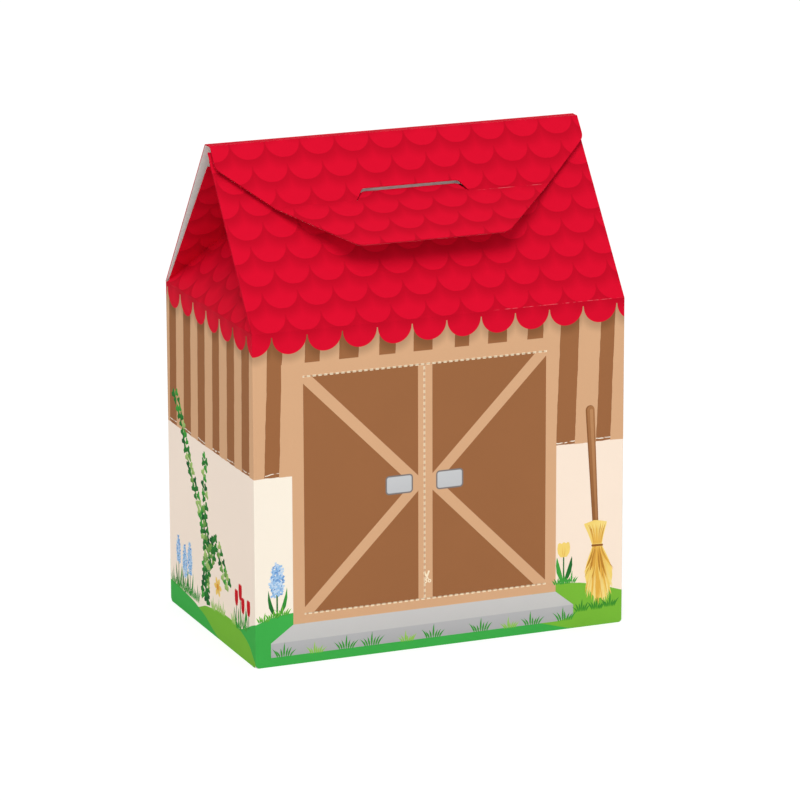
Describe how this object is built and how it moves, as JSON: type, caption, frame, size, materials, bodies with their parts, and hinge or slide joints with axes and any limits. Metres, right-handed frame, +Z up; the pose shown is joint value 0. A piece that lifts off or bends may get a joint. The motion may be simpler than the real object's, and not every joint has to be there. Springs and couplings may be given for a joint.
{
  "type": "toy barn carton",
  "caption": "Barn-shaped folding carton for toys: gable roof whose back slope lifts as a lid, tuck-lock closing flap, double front doors and a crash-lock floor.",
  "frame": {"origin": "centre of the base, on the underside of the floor flaps, midway between the front and back walls and between the side walls", "axes": "+Z up, -Y out of the front (the doors' side), +X to the right as seen from the front"},
  "size_m": [0.19, 0.119, 0.2406],
  "materials": {
    "front_print": "satin",
    "side_print": "satin",
    "door_print": "satin",
    "roof_print": "satin",
    "white_board": "matte",
    "grey_board": "matte"
  },
  "bodies": {
    "carton": {"front_wall": "front_print", "back_wall": "side_print", "left_wall": "side_print", "right_wall": "side_print", "seam_glue_flap": "grey_board", "front_floor_flap": "white_board", "back_floor_flap": "white_board", "left_floor_flap": "white_board", "right_floor_flap": "white_board", "left_glue_corner": "white_board", "right_glue_corner": "white_board", "front_roof_panel": "roof_print", "left_gable_centre": "roof_print", "left_gable_front": "roof_print", "right_gable_centre": "roof_print", "right_gable_front": "roof_print"},
    "left_door": {"left_door": "door_print"},
    "right_door": {"right_door": "door_print"},
    "roof_lid": {"back_roof_panel": "roof_print"},
    "ridge_spine": {"ridge_spine": "roof_print"},
    "closing_flap": {"closing_flap": "roof_print"},
    "lock_lip": {"lock_lip": "roof_print"},
    "left_gable_wing": {"left_gable_back": "roof_print"},
    "right_gable_wing": {"right_gable_back": "roof_print"}
  },
  "joints": [
    {"name": "left_door_hinge", "type": "hinge", "parent": "carton", "child": "left_door", "pos_m": [-0.07, -0.0595, 0.08205], "axis": [0, 0, -1], "range_deg": [0, 165]},
    {"name": "right_door_hinge", "type": "hinge", "parent": "carton", "child": "right_door", "pos_m": [0.054, -0.0595, 0.08205], "axis": [0, 0, 1], "range_deg": [0, 165]},
    {"name": "roof_lid_hinge", "type": "hinge", "parent": "carton", "child": "roof_lid", "pos_m": [0, 0.0595, 0.162], "axis": [-1, 0, 0], "range_deg": [0, 150]},
    {"name": "ridge_crease", "type": "hinge", "parent": "roof_lid", "child": "ridge_spine", "pos_m": [0, 0.001, 0.2406], "axis": [-1, 0, 0], "range_deg": [0, 45]},
    {"name": "flap_crease", "type": "hinge", "parent": "ridge_spine", "child": "closing_flap", "pos_m": [0, -0.0046, 0.2406], "axis": [-1, 0, 0], "range_deg": [0, 120]},
    {"name": "lip_crease", "type": "hinge", "parent": "closing_flap", "child": "lock_lip", "pos_m": [0, -0.02529, 0.21311], "axis": [-1, 0, 0], "range_deg": [-23, 40]},
    {"name": "left_wing_crease", "type": "hinge", "parent": "carton", "child": "left_gable_wing", "pos_m": [-0.06621, 0.02872, 0.19603], "axis": [0.5419, -0.5441, 0.6405], "range_deg": [-5, 50]},
    {"name": "right_wing_crease", "type": "hinge", "parent": "carton", "child": "right_gable_wing", "pos_m": [0.06621, 0.02872, 0.19603], "axis": [0.5419, 0.5441, -0.6405], "range_deg": [-5, 50]}
  ],
  "couplings": [
    {"joint": "ridge_crease", "follows": "roof_lid_hinge", "ratio": 0.3}
  ]
}
